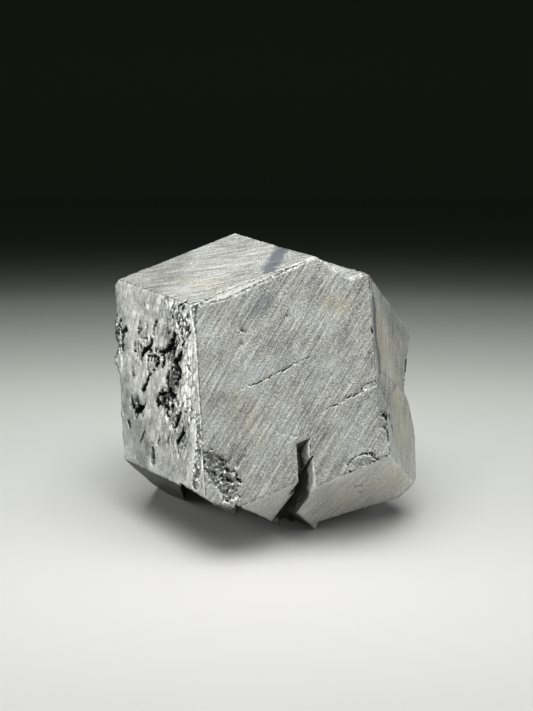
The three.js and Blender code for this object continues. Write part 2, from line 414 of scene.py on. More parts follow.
FRONT_RELIEF = FaceRelief(
    grooves=(
        Groove(((-7.2, -3.2), (-6.0, -2.8), (-5.2, -2.3), (-4.4, -2.1)), 0.04, 0.05, 0.05, 0.55),
        Groove(((-4.4, -2.1), (-3.3, -1.8), (-2.4, -1.4)), 0.06, 0.08, 0.07, 0.85),
        Groove(((-2.4, -1.4), (-1.2, -0.8), (-0.1, -0.4)), 0.07, 0.08, 0.06, 0.9),
        Groove(((-0.1, -0.4), (1.0, 0.2), (1.6, 0.5), (3.1, 1.05)), 0.07, 0.08, 0.03, 0.9),
        Groove(((-6.7, -5.1), (-5.3, -3.4)), 0.02, 0.04, 0.02, 0.35),
        Groove(((4.1, -5.8), (5.0, -5.2), (6.1, -4.8)), 0.05, 0.06, 0.07, 0.75),
        Groove(((6.1, -4.8), (7.6, -4.0), (9.2, -3.5)), 0.07, 0.1, 0.09, 0.75),
        Groove(((9.2, -3.5), (9.3, -2.8)), 0.07, 0.12, 0.07, 0.7),
        Groove(((9.3, -2.8), (9.9, -2.5), (11.3, -2.1)), 0.08, 0.12, 0.07, 0.75),
        Groove(((-3.6, 7.6), (-4.1, 6.3)), 0.03, 0.04, 0.04, 0.5),
        Groove(((1.0, 7.4), (0.6, 6.3), (1.1, 5.4)), 0.05, 0.06, 0.08, 0.5),
        Groove(((0.8, 6.1),), 0.16, 0.06, dark=0.5),
        Groove(((-4.9, 4.6), (-4.3, 4.3)), 0.18, 0.08, 0.12, 0.55, 0.4),
        Groove(((-5.0, 2.9),), 0.3, 0.06, dark=0.35, rough=0.5),
        Groove(((5.3, -3.9),), 0.1, 0.1, dark=0.7),
        Groove(((0.2, -5.4),), 0.12, 0.08, dark=0.6),
        Groove(((0.3, -3.1), (-0.4, -4.2), (-1.1, -5.1)), 0.03, 0.04, 0.03, 0.35),
        Groove(((-1.1, -7.8), (-0.6, -8.0)), 0.06, 0.05, dark=0.4),
        Groove(((-5.6, -7.0), (-5.4, -9.2), (-5.2, -11.4)), 0.02, 0.05, 0.05, 0.5),
        Groove(((-7.4, -13.0), (-6.7, -13.3), (-5.3, -11.8)), 0.04, 0.1, 0.03, 0.6),
        Groove(((-6.6, -12.9), (-6.2, -13.4)), 0.1, 0.25, 0.26, 0.85),
        Groove(((6.9, -12.2), (7.4, -11.5), (8.3, -11.1), (9.2, -10.9)), 0.07, 0.1, 0.07, 0.8),
        Groove(((9.2, -10.9), (10.1, -11.2), (10.5, -11.8)), 0.1, 0.12, 0.06, 0.85),
        Groove(((6.9, -12.2), (7.2, -13.0), (8.6, -13.0), (10.0, -12.5)), 0.07, 0.08, 0.06, 0.75),
        Groove(((9.5, -10.7), (10.3, -11.1)), 0.08, 0.2, 0.06, 0.9),
        Groove(((10.4, -11.6), (11.2, -11.3), (12.1, -11.2)), 0.07, 0.08, 0.05, 0.75),
        Groove(((10.9, 4.1), (11.1, 3.7)), 0.11, 0.15, dark=0.85),
        Groove(((11.5, -1.2), (11.5, -2.4)), 0.05, 0.15, 0.08, 0.7),
        Groove(((11.4, -6.0), (11.6, -6.4)), 0.1, 0.2, 0.05, 0.8),
        Groove(((12.1, -6.4), (12.0, -7.0)), 0.12, 0.2, 0.06, 0.9, 0.5),
        Groove(((11.8, -7.6), (11.8, -8.3)), 0.06, 0.15, 0.09, 0.8, 0.5),
        Groove(((12.0, -8.3), (12.2, -11.0)), 0.07, 0.08, 0.05, 0.8),
        Groove(((1.9, -8.9), (2.6, -9.7), (2.8, -10.6)), 0.04, 0.06, 0.04, 0.6, 0.3),
    ),
    clusters=(
        PitCluster((8.7, -12.0), (1.6, 0.7), 15.0, 26, 0.4, 0.05, 0.1, 31, 0.6),
        PitCluster((-10.9, -8.0), (0.5, 2.6), 0.0, 22, 0.3, 0.07, 0.14, 32, 0.75),
        PitCluster((-9.2, -11.3), (3.0, 1.8), -35.0, 70, 0.45, 0.1, 0.2, 33, 0.8),
        PitCluster((-8.0, -13.6), (2.6, 1.6), -55.0, 56, 0.4, 0.1, 0.2, 34, 0.8),
        PitCluster((1.2, -8.3), (1.6, 0.5), 25.0, 16, 0.4, 0.06, 0.08, 35, 0.6),
        PitCluster((11.7, -6.9), (0.5, 1.2), 5.0, 12, 0.4, 0.1, 0.15, 36, 0.9),
    ),
    worn=(
        Groove(((-11.4, -9.6), (-10.6, -10.7), (-9.2, -11.3)), 0.9, 0.12, 1.4, 0.05, 0.75),
        Groove(((-9.2, -11.3), (-8.5, -12.6), (-7.5, -14.6)), 1.3, 0.15, 1.0, 0.05, 0.75),
        Groove(((-10.4, 7.6), (-10.6, 4.6)), 0.4, 0.08, 0.2, 0.2, 0.9),
        Groove(((-11.2, -4.5), (-11.4, -9.4)), 0.25, 0.06, 0.5, 0.1, 0.9),
        Groove(((7.4, -12.1), (8.7, -12.0), (9.9, -11.8)), 0.5, 0.06, 0.4, 0.2, 0.4),
        Groove(((9.6, -3.05), (11.2, -2.5)), 0.3, 0.08, 0.25, 0.0, 0.4),
        Groove(((-6.6, -11.6), (-5.4, -10.4)), 0.3, 0.05, 0.2, 0.1, 0.5),
    ),
    chips_and_painted_light=(
        Patch(((9.6, -3.0), (11.2, -2.5)), 0.25, 0.25, 0.4),
        Patch(((-7.6, -14.6), (-6.9, -14.9)), 0.3, 0.4, 0.8),
        Patch(((-8.8, -14.2), (-8.6, -14.6)), 0.2, 0.3, 0.8),
        Patch(((-11.4, -12.0), (-10.2, -13.6)), 0.4, 0.8, 0.25),
    ),
    shade=(
        # The first patch is painted shade at the front's lower tip, by the base.
        Patch(((-9.2, -16.4), (-6.0, -17.2)), 0.5, 0.5, 0.8),
        Patch(((-9.6, -11.2), (-8.4, -13.4)), 1.4, 1.8, 0.3),
    ),
    dusky=(
        Patch(((-1.6, 8.6), (-3.6, 6.6)), 0.7, 1.4, 0.45),
        Patch(((11.3, -3.0), (12.0, -9.0)), 0.5, 1.2, 0.6),
        Patch(((-11.5, 3.0), (-11.6, -8.0)), 0.25, 0.8, 0.5),
    ),
    rusty=(
        Patch(((5.6, 7.6), (7.6, 7.2)), 0.8, 2.4, 0.9),
        Patch(((-6.4, -2.8), (-4.6, -5.6)), 0.8, 2.2, 0.45),
        Patch(((-4.8, -6.4), (-4.4, -6.8)), 0.4, 1.6, 0.6),
        Patch(((-7.0, -7.0), (-3.0, -9.0)), 0.6, 2.6, 0.3),
    ),
    ripple=0.02,
    swell=0.05,
)

TOP_RELIEF = FaceRelief(
    grooves=(
        Groove(((0.9, -2.6), (1.6, -3.0)), 0.06, 0.05, dark=0.5),
        Groove(((-0.1, -3.8), (0.7, -4.9), (1.1, -5.5)), 0.04, 0.05, 0.03, 0.55),
        Groove(((1.1, -5.5), (1.9, -6.2)), 0.04, 0.05, 0.03, 0.5),
        Groove(((3.0, -3.8), (3.6, -4.2)), 0.08, 0.06, 0.04, 0.5),
        Groove(((-4.6, -9.1), (-3.2, -8.9)), 0.1, 0.2, 0.25, 0.8),
        Groove(((-2.7, -9.6), (-0.3, -8.9), (1.7, -8.9), (3.6, -7.6)), 0.07, 0.06, 0.05, 0.85),
        Groove(((4.7, -6.9), (7.1, -5.0), (9.6, -2.6)), 0.08, 0.06, 0.12, 0.85),
        Groove(((4.8, 3.9), (5.9, 3.1), (6.3, 2.3)), 0.3, 0.25, 0.2, 0.25),
    ),
    clusters=(
        PitCluster((7.6, -4.4), (2.8, 0.25), 38.0, 26, 0.5, 0.07, 0.1, 41, 0.8),
        PitCluster((1.6, -8.9), (2.6, 0.3), 20.0, 16, 0.5, 0.05, 0.08, 42, 0.6),
        PitCluster((-3.0, -2.0), (6.0, 6.0), 0.0, 30, 0.8, 0.04, 0.05, 43, 0.45),
    ),
    # The first two patches are painted shade: the dark band where the top face would reflect the dark
    # surroundings.
    dusky=(
        Patch(((6.6, 3.6), (6.0, 1.2), (5.9, -2.8)), 1.0, 0.8, 1.0),
        Patch(((5.4, -1.0), (6.6, -1.8)), 0.6, 1.2, 0.9),
        Patch(((-3.4, -8.6), (1.6, -8.8), (3.6, -7.4)), 0.15, 0.6, 0.5),
    ),
    shade=(
        Patch(((-10.0, -3.0), (-8.0, 6.0)), 2.0, 5.0, 0.2),
        Patch(((2.4, -1.4), (3.6, -0.6)), 0.15, 0.7, 0.4),
        Patch(((2.0, -3.6), (3.8, -3.2)), 0.15, 0.6, 0.45),
        Patch(((-1.4, -1.0), (-0.6, -1.2)), 0.1, 0.5, 0.4),
    ),
    rusty=(Patch(((-4.0, -4.0), (0.0, -5.0)), 1.5, 4.0, 0.4),),
    ripple=0.022,
    swell=0.05,
)

RIGHT_RELIEF = FaceRelief(
    grooves=(
        Groove(((-5.8, -6.3), (-5.5, -7.2)), 0.16, 0.2, 0.12, 0.9, 0.5),
        Groove(((-4.9, -7.6), (-4.7, -8.2)), 0.12, 0.15, 0.1, 0.8),
    ),
    # The first patch is painted shade: the dark band along the right face's edge with the front.
    dusky=(
        Patch(((-6.2, 8.0), (-6.2, 2.8), (-5.6, -1.4)), 0.45, 0.8, 1.0),
        Patch(((-3.5, 9.0), (-1.0, 6.0)), 0.8, 2.4, 0.5),
        Patch(((-5.4, -2.0), (-5.0, -9.0)), 0.3, 1.2, 0.6),
    ),
    # Painted light: the right face made paler than the lamps leave it.
    chips_and_painted_light=(Patch(((-3.4, 8.0), (-2.8, -1.0)), 3.0, 4.0, 0.35),),
    rusty=(
        Patch(((-4.4, 5.0), (-3.2, -3.0), (-2.0, -9.0)), 1.4, 2.6, 1.0),
        Patch(((0.0, 2.0), (1.0, -8.0)), 1.0, 3.0, 0.8),
    ),
    ripple=0.05,
    swell=0.1,
)

LOWER_FRONT_RELIEF = FaceRelief(
    grooves=(
        Groove(((2.7, 1.5), (3.6, 1.6), (4.7, 1.9)), 0.2, 0.08, 0.14, 0.45),
        Groove(((3.7, 1.3), (3.6, -1.9)), 0.05, 0.12, 0.04, 0.7),
    ),
    # Painted light over the whole face, which the lamps leave too dark.
    chips_and_painted_light=(Patch(((-12.0, 0.0), (12.0, 0.0)), 8.0, 1.0, 0.45),),
    rusty=(Patch(((2.0, 0.0), (9.0, 0.0)), 1.5, 4.0, 0.5),),
    ripple=0.012,
    swell=0.06,
)

RELIEFS = {
    Kind.LEFT: LEFT_RELIEF,
    Kind.FRONT: FRONT_RELIEF,
    Kind.TOP: TOP_RELIEF,
    Kind.RIGHT: RIGHT_RELIEF,
    Kind.LOWER_FRONT: LOWER_FRONT_RELIEF,
    Kind.OTHER: FaceRelief(
        clusters=(
            PitCluster((-4.0, 4.0), (6.0, 5.0), 60.0, 24, 0.9, 0.18, 0.3, 51, 0.8),
            PitCluster((5.0, -4.0), (5.0, 6.0), 50.0, 20, 1.1, 0.14, 0.25, 52, 0.7),
        ),
        dusky=(Patch(((-6.0, -6.0), (3.0, -3.0)), 2.0, 5.0, 0.4),),
        rusty=(Patch(((2.0, 6.0), (6.0, 0.0)), 1.5, 4.0, 0.35),),
        ripple=0.03,
        swell=0.1,
    ),
    # Gap floors get painted shade, the shade deep in a gap.
    Kind.CREVICE: FaceRelief(shaded=0.93, ripple=0.0, swell=0.25),
    # Gap walls get painted light all over, and painted shade deeper in, from _depth_shade.
    Kind.GAP_WALL: FaceRelief(
        chips_and_painted_light=(Patch(((0.0, 0.0),), 60.0, 1.0),),
        clusters=(PitCluster((1.7, -8.0), (5.0, 2.0), 80.0, 60, 0.5, 0.08, 0.1, 61, 0.6),),
        ripple=0.04,
        swell=0.15,
    ),
    # Faces that look down get painted shade.
    Kind.UNDER: FaceRelief(shaded=0.87, ripple=0.03, swell=0.2),
    Kind.WORN: FaceRelief(shaded=0.15, ripple=0.02, swell=0.08),
    # Painted shade on the worn top edge, against the highlight that it would catch.
    Kind.BEVEL: FaceRelief(shaded=0.5, ripple=0.02, swell=0.08),
    # Painted shade on the broken underside.
    Kind.BROKEN: FaceRelief(shaded=0.88, ripple=0.0, swell=0.22),
}
# Only the outermost face of each kind carries its relief: the distance of its plane from the centre.
OUTER_FACE = {Kind.LEFT: 16.0, Kind.FRONT: 14.4, Kind.TOP: 16.3, Kind.LOWER_FRONT: 17.3}
INNER_KINDS = {
    Kind.LEFT: Kind.GAP_WALL,
    Kind.FRONT: Kind.CREVICE,
    Kind.TOP: Kind.OTHER,
    Kind.LOWER_FRONT: Kind.CREVICE,
}


@dataclass(frozen=True)
class Knob:
    """A small lump that stands proud on an edge.

    Attributes:
        place: Its middle on the left face.
        radii: Its half sizes on that face.
        height: How far it stands out.
    """

    place: Point
    radii: Point
    height: float


KNOBS = (
    Knob((-9.1, 7.9), (0.6, 0.7), 0.3),
    Knob((-9.2, 6.4), (0.6, 0.8), 0.38),
    Knob((-9.3, 3.3), (0.7, 1.25), 0.5),
    Knob((-9.4, -3.4), (0.6, 0.9), 0.18),
    Knob((-9.6, -6.2), (0.6, 0.8), 0.14),
)


@dataclass
class Facet:
    """One flat facet of the solid, with the axes that its relief is drawn in."""

    kind: Kind
    normal: np.ndarray
    sideways: np.ndarray
    upright: np.ndarray
    streak_deg: float
    level: int
    verts: np.ndarray = field(default_factory=lambda: np.zeros(0, int))


@dataclass(frozen=True)
class Unevenness:
    """A smooth noise over the surface.

    Attributes:
        per_mm: How many noise cells there are in a millimetre, one number or one for each axis.
        seed: Moves the whole pattern.
    """

    per_mm: float | tuple[float, float, float]
    seed: float

    def at(self, points: np.ndarray) -> np.ndarray:
        """Gives one value from about -1 to 1 for each row of x, y, z."""
        moved = points * np.array(self.per_mm) + np.array((self.seed, -self.seed, 0.37 * self.seed))
        return np.array([noise.noise(Vector(p)) for p in moved])


SWELL = Unevenness(0.22, 5.0)
RIPPLE = Unevenness((0.35, 2.6, 1.0), 2.0)
FINE_RIPPLE = Unevenness((0.9, 5.5, 1.0), 14.0)
RAGGED = (Unevenness(2.6, 21.0), Unevenness(2.6, 37.0))
FINE_RAGGED = (Unevenness(6.5, 43.0), Unevenness(6.5, 51.0))
DASHES = Unevenness(4.2, 61.0)
GRANULES = Unevenness(3.4, 31.0)
EDGE_WEAR = Unevenness(0.6, 3.0)
NICKS = Unevenness(1.7, 9.0)
WALL_SHADE_NOISE = Unevenness(1.1, 71.0)
SHELLS = Unevenness(0.45, 8.0)
GRIT = Unevenness(1.6, 12.0)
CRACK_CELLS_PER_MM = (0.7, 1.25, 1.0)
CRACK_SEED = 4.0
CRACK_WIDTH = 0.13


def crack_net(points: np.ndarray) -> np.ndarray:
    """Gives how near each point is to a crack of an irregular net: 1 on it, 0 away from it."""
    moved = points * np.array(CRACK_CELLS_PER_MM) + CRACK_SEED
    gaps = []
    for p in moved:
        near = noise.voronoi(Vector(p))[0]
        gaps.append(near[1] - near[0])
    return np.clip(1.0 - np.array(gaps) / CRACK_WIDTH, 0.0, 1.0)


@dataclass
class CrystalBody:
    """The crystal's visible surface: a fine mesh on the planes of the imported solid.

    Attributes:
        cad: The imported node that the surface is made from.
        axes: How the crystal lies in the frame.
        facets: The solid's flat facets, filled in by build.
        cell: Side of a square mesh cell before any halving.
        snap: Corners closer than this to a cut are taken as on it.
        flat_deg: Triangles that meet at less than this make one facet.
        long_share: Edges longer than this many halved cells are halved.
        settle_rounds: How many times the cells are evened out, each by settle_share.
        rim_deg: Outward edges sharper than this get worn.
        edge_radius: How far the wear reaches in from an edge.
        edge_wear: How far edges are worn down, give or take wear_swing of it.
        nick_start: How strong the noise is where a nick begins, which nick_depth deepens.
        sharp_deg: Mesh edges sharper than this aren't shaded smooth.
        wall: Width of a groove's walls.
        deepest: No groove goes deeper than this.
        shadow_width: How much wider than a groove its dark mark is.
        hairline: Grooves narrower than this are drawn as dashes.
        dash_share: How much of a hairline is drawn, give or take dash_swing.
        knob_reach: How far from the left face's plane a lump still shows, fading from knob_edge.
        corner_give: How much the facets at a corner yield to each other.
    """

    cad: bpy.types.Object
    axes: CrystalAxes = CrystalAxes()
    facets: list[Facet] = field(default_factory=list)
    cell: float = 1.25
    snap: float = 0.02
    flat_deg: float = 0.3
    long_share: float = 1.25
    settle_rounds: int = 2
    settle_share: float = 0.5
    rim_deg: float = 12.0
    edge_radius: float = 0.2
    edge_wear: float = 0.055
    wear_swing: float = 0.6
    nick_start: float = 0.25
    nick_depth: float = 0.45
    sharp_deg: float = 27.0
    wall: float = 0.14
    deepest: float = 0.42
    shadow_width: float = 0.03
    hairline: float = 0.11
    dash_share: float = 0.85
    dash_swing: float = 1.4
    knob_reach: float = 1.2
    knob_edge: float = 1.5
    corner_give: float = 0.08

    def build(self) -> bpy.types.Object:
        """Builds the piece.

        Returns:
            The new object, at the origin, unturned and unscaled.
        """
        bm = self._merged_copy()
        layer = self._tag_facets(bm)
        self._dice(bm, layer)
        self._halve_cells(bm, layer)
        self._settle(bm, layer)
        self._collect(bm, layer)
        self._draw_uv(bm, layer)
        values = self._carve(bm)
        bm.transform(Matrix.Scale(METRES_PER_MM, 4))
        mesh = bpy.data.meshes.new("crystal_surface")
        bm.to_mesh(mesh)
        bm.free()
        for name, column in values.items():
            attribute = mesh.attributes.new(name, "FLOAT", "POINT")
            attribute.data.foreach_set("value", column.astype(np.float32))
        mesh.shade_smooth()
        mesh.set_sharp_from_angle(angle=math.radians(self.sharp_deg))
        piece = bpy.data.objects.new("crystal_surface", mesh)
        bpy.context.scene.collection.objects.link(piece)
        return piece

    def _merged_copy(self) -> bmesh.types.BMesh:
        """Copies the solid in millimetres, with its corners merged and its flat facets whole."""
        bm = bmesh.new()
        bm.from_mesh(self.cad.data)
        bm.transform(Matrix.Scale(1 / METRES_PER_MM, 4))
        bmesh.ops.remove_doubles(bm, verts=bm.verts, dist=self.snap / 4)
        flat = math.radians(self.flat_deg)
        bmesh.ops.dissolve_limit(
            bm, angle_limit=flat, verts=bm.verts, edges=bm.edges, use_dissolve_boundaries=False
        )
        return bm

    def _tag_facets(self, bm: bmesh.types.BMesh) -> bmesh.types.BMLayerItem:
        """Numbers the facets and works out what each one is.

        Args:
            bm: The merged solid.

        Returns:
            The face layer that holds a face's facet number.
        """
        layer = bm.faces.layers.int.new("facet")
        turn = self.axes.turn()
        bm.normal_update()
        for number, face in enumerate(bm.faces):
            face[layer] = number
            normal = np.array(face.normal)
            middle = self.axes.to_crystal(np.array([face.calc_center_median()]))[0]
            self.facets.append(self._facet(normal, normal @ turn, middle, face.calc_area()))
        return layer

    def _facet(self, normal: np.ndarray, in_crystal: np.ndarray, middle: np.ndarray, area: float) -> Facet:
        """Makes the facet that has this normal in the frame and in crystal axes, middle and area."""
        turn = self.axes.turn()
        for axes in FACES:
            miller = np.array(axes.normal, float) / math.sqrt(2)
            if in_crystal @ miller < SAME_NORMAL:
                continue
            upright = np.array(axes.upright, float)
            upright /= np.linalg.norm(upright)
            sideways = np.cross(upright, miller)
            kind = axes.kind
            if middle @ miller < OUTER_FACE.get(kind, 0.0):
                kind = INNER_KINDS.get(kind, Kind.OTHER)
            if normal[2] < DOWN_FACE or (kind is Kind.LOWER_FRONT and area < SMALL_STEP_MM2):
                kind = Kind.UNDER
            return Facet(kind, normal, turn @ sideways, turn @ upright, axes.streak_deg, axes.level)
        side = np.cross(normal, (0.0, 0.0, 1.0) if abs(normal[2]) < 0.9 else (1.0, 0.0, 0.0))
        side /= np.linalg.norm(side)
        bevel = np.array(BEVEL_WAY) / np.linalg.norm(BEVEL_WAY)
        low = (turn @ middle)[2] + self.axes.centre[2] < LOW_STEP_MM
        kind = Kind.WORN
        if in_crystal @ bevel > NEAR_BEVEL:
            kind = Kind.BEVEL
        elif low or normal[2] < DOWN_BREAK:
            kind = Kind.BROKEN
        return Facet(kind, normal, side, np.cross(normal, side), BREAK_STREAK_DEG, BREAK_LEVEL)

    def _dice(self, bm: bmesh.types.BMesh, layer: bmesh.types.BMLayerItem) -> None:
        """Cuts every facet into square cells along its own axes."""
        for number, facet in enumerate(self.facets):
            for axis in (facet.sideways, facet.upright):
                faces = [f for f in bm.faces if f[layer] == number]
                along = [Vector(axis).dot(v.co) for f in faces for v in f.verts]
                first = math.floor(min(along) / self.cell) + 1
                last = math.ceil(max(along) / self.cell)
                for step in range(first, last):
                    faces = [f for f in bm.faces if f[layer] == number]
                    edges = {e for f in faces for e in f.edges}
                    verts = {v for f in faces for v in f.verts}
                    geom = [*faces, *edges, *verts]
                    place = Vector(axis) * self.cell * step
                    bmesh.ops.bisect_plane(
                        bm, geom=geom, dist=self.snap, plane_co=place, plane_no=Vector(axis)
                    )
        self._to_triangles(bm)

    def _to_triangles(self, bm: bmesh.types.BMesh) -> None:
        """Turns every face with more than three corners into triangles."""
        wide = [f for f in bm.faces if len(f.verts) > 3]
        bmesh.ops.triangulate(bm, faces=wide, quad_method="SHORT_EDGE", ngon_method="BEAUTY")

    def _halve_cells(self, bm: bmesh.types.BMesh, layer: bmesh.types.BMLayerItem) -> None:
        """Halves the cells as often as their facet asks for."""
        for step in range(max(facet.level for facet in self.facets)):
            longest = self.cell / 2 ** (step + 1) * self.long_share
            edges = set()
            for face in bm.faces:
                if self.facets[face[layer]].level > step:
                    edges.update(e for e in face.edges if e.calc_length() > longest)
            bmesh.ops.subdivide_edges(bm, edges=list(edges), cuts=1, use_grid_fill=True)
            self._to_triangles(bm)

    def _settle(self, bm: bmesh.types.BMesh, layer: bmesh.types.BMLayerItem) -> None:
        """Evens out the cells inside each facet, without moving any edge of the solid."""
        inside = [v for v in bm.verts if len({f[layer] for f in v.link_faces}) == 1]
        share = self.settle_share
        for _ in range(self.settle_rounds):
            bmesh.ops.smooth_vert(
                bm, verts=inside, factor=share, use_axis_x=True, use_axis_y=True, use_axis_z=True
            )

    def _collect(self, bm: bmesh.types.BMesh, layer: bmesh.types.BMLayerItem) -> None:
        """Lists the corners that each facet has."""
        bm.verts.index_update()
        found: list[set[int]] = [set() for _ in self.facets]
        for face in bm.faces:
            found[face[layer]].update(v.index for v in face.verts)
        for facet, verts in zip(self.facets, found):
            facet.verts = np.array(sorted(verts), int)

    def _draw_uv(self, bm: bmesh.types.BMesh, layer: bmesh.types.BMLayerItem) -> None:
        """Lays a map on every facet in millimetres, with its first axis along the striations."""
        uv = bm.loops.layers.uv.new("streaks")
        for face in bm.faces:
            facet = self.facets[face[layer]]
            lean = math.radians(facet.streak_deg)
            along = math.cos(lean) * facet.sideways + math.sin(lean) * facet.upright
            across = math.cos(lean) * facet.upright - math.sin(lean) * facet.sideways
            for loop in face.loops:
                place = np.array(loop.vert.co)
                loop[uv].uv = (place @ along + 7.0 * facet.streak_deg, place @ across)

    def _carve(self, bm: bmesh.types.BMesh) -> dict[str, np.ndarray]:
        """Moves the corners by the relief of their facets.

        Args:
            bm: The diced solid.

        Returns:
            The surface's marks, one value for each corner.
        """
        bm.verts.ensure_lookup_table()
        points = np.array([v.co for v in bm.verts])
        marks = {name: np.zeros(len(points)) for name in MARKS}
        heights = [np.zeros(len(facet.verts)) for facet in self.facets]
        rim = self._rim(bm, points)
        knobs = self._knob_heights(points)
        for i, facet in enumerate(self.facets):
            if len(facet.verts):
                heights[i] = self._facet_heights(facet, points, marks, rim)
                heights[i] += knobs[facet.verts] - self._wear(points[facet.verts], rim[facet.verts])
        moved = points + self._moves(len(points), heights)
        moved[:, 2] = np.maximum(moved[:, 2], 0.0)
        for vert, place in zip(bm.verts, moved):
            vert.co = Vector(place)
        bm.normal_update()
        return marks

    def _rim(self, bm: bmesh.types.BMesh, points: np.ndarray) -> np.ndarray:
        """Gives 1 on the solid's outward edges, falling to 0 a few tenths of a millimetre away."""
        least = math.radians(self.rim_deg)
        edges = [e for e in bm.edges if len(e.link_faces) == 2 and e.calc_face_angle_signed() > least]
        on_edge = {v.index for e in edges for v in e.verts}
        tree = KDTree(len(on_edge))
        for index in on_edge:
            tree.insert(bm.verts[index].co, index)
        tree.balance()
        gaps = np.array([tree.find(Vector(p))[2] for p in points])
        return np.exp(-((gaps / self.edge_radius) ** 2))

    def _wear(self, points: np.ndarray, rim: np.ndarray) -> np.ndarray:
        """Gives how far the edges are worn down at each point."""
        swing = 1.0 + self.wear_swing * EDGE_WEAR.at(points)
        nicks = np.clip(NICKS.at(points) - self.nick_start, 0.0, 1.0)
        return rim * (self.edge_wear * swing + self.nick_depth * nicks)

    def _knob_heights(self, points: np.ndarray) -> np.ndarray:
        """Gives how far the lumps on the left edge stand out at each point."""
        left = next(axes for axes in FACES if axes.kind is Kind.LEFT)
        miller = np.array(left.normal, float) / math.sqrt(2)
        upright = np.array(left.upright, float) / math.sqrt(3)
        side = np.cross(upright, miller)
        inside = self.axes.to_crystal(points)
        on_face = np.stack((inside @ side, inside @ upright), axis=1)
        near = np.clip(1.0 - np.abs(inside @ miller - LEFT_DISTANCE) / self.knob_reach, 0.0, 1.0)
        height = np.zeros(len(points))
        for knob in KNOBS:
            out = np.linalg.norm((on_face - np.array(knob.place)) / np.array(knob.radii), axis=1)
            height += knob.height * near * np.clip(self.knob_edge - out, 0.0, 1.0)
        return height

    def _facet_heights(
        self, facet: Facet, points: np.ndarray, marks: dict[str, np.ndarray], rim: np.ndarray
    ) -> np.ndarray:
        """Works out one facet's relief and adds its marks.

        Args:
            facet: The facet.
            points: All corners.
            marks: The marks of all corners, added to in place.
            rim: 1 on the solid's outward edges, falling to 0 beside them, for all corners.

        Returns:
            The height of each of the facet's corners over its plane.
        """
        relief = RELIEFS[facet.kind]
        own = points[facet.verts]
        from_centre = own - np.array(self.axes.centre)
        spots = np.stack((from_centre @ facet.sideways, from_centre @ facet.upright), axis=1)
        lean = math.radians(facet.streak_deg)
        streaks = np.stack(
            (
                spots @ (math.cos(lean), math.sin(lean)),
                spots @ (-math.sin(lean), math.cos(lean)),
                np.zeros(len(spots)),
            ),
            axis=1,
        )
        ragged = np.stack([each.at(own) for each in RAGGED], axis=1)
        height = relief.swell * SWELL.at(own)
        height += relief.ripple * RIPPLE.at(streaks)
        height += 0.5 * relief.ripple * FINE_RIPPLE.at(streaks)
        if facet.kind is Kind.BROKEN:
            height += self._broken(own)
            self._mark(marks, "granular", facet, np.full(len(own), 0.4))
        if relief.crazed:
            craze = sum(patch.cover(spots) for patch in relief.crazed)
            net = crack_net(streaks + 0.25 * np.c_[ragged, ragged[:, :1]])
            self._mark(marks, "crazed", facet, craze)
            self._mark(marks, "pit", facet, 0.3 * net * craze)
            height -= 0.03 * net * craze
        fine = np.stack([each.at(own) for each in FINE_RAGGED], axis=1)
        warped = spots + 0.12 * ragged + 0.13 * fine
        gaps = np.clip(self.dash_share + self.dash_swing * DASHES.at(own), 0.0, 1.0)
        for groove in relief.all_grooves():
            inside = groove.cover(warped, self.wall)
            granules = GRANULES.at(own) if groove.rough else 0.0
            height -= min(groove.depth, self.deepest) * inside * (1.0 + 0.9 * groove.rough * granules)
            # A groove's dark mark is painted shadow in the hollow.
            shadow = groove.dark * groove.cover(warped, self.wall, self.shadow_width)
            self._mark(marks, "pit", facet, shadow * gaps if groove.width < self.hairline else shadow)
            self._mark(marks, "granular", facet, groove.rough * inside)
        for name in ("dusky", "rusty", "chips_and_painted_light"):
            for patch in getattr(relief, name):
                self._mark(marks, name, facet, patch.cover(spots + 0.5 * ragged))
        self._mark(marks, "sleek", facet, np.full(len(own), relief.sleek))
        # Painted shade over the whole face, for gaps, the underside and worn edges.
        self._mark(marks, "shaded", facet, np.full(len(own), relief.shaded))
        # A gap's wall gets painted shade that deepens behind the front face.
        if facet.kind is Kind.GAP_WALL:
            self._mark(marks, "shaded", facet, self._depth_shade(own))
            self._mark(marks, "granular", facet, np.full(len(own), 0.25))
        # Painted shade in dashes along the edges of these faces, against the highlight that the worn edges
        # catch.
        if facet.kind in (Kind.BEVEL, Kind.FRONT, Kind.LEFT):
            self._mark(marks, "pit", facet, 0.55 * rim[facet.verts] * gaps)
        for patch in relief.shade:
            self._mark(marks, "shaded", facet, patch.cover(warped))
        return height

    def _depth_shade(self, points: np.ndarray) -> np.ndarray:
        """Gives the painted shade on a gap's wall: none near the front face, darker deeper in the gap."""
        front = np.array((1.0, 1.0, 0.0)) / math.sqrt(2)
        depth = FRONT_DISTANCE - self.axes.to_crystal(points) @ front
        lit_to, fade, ragged = 0.9, 0.4, 0.4
        return 0.92 * np.clip((depth + ragged * WALL_SHADE_NOISE.at(points) - lit_to) / fade, 0.0, 1.0)

    def _broken(self, points: np.ndarray) -> np.ndarray:
        """Gives the uneven relief of a broken surface: shallow shells, steps and grit."""
        return -0.3 * np.abs(SHELLS.at(points)) + 0.09 * GRIT.at(points)

    def _mark(self, marks: dict[str, np.ndarray], name: str, facet: Facet, value: np.ndarray) -> None:
        """Keeps the stronger of a mark's old and new values."""
        column = marks[name]
        column[facet.verts] = np.maximum(column[facet.verts], np.clip(value, 0.0, 1.0))

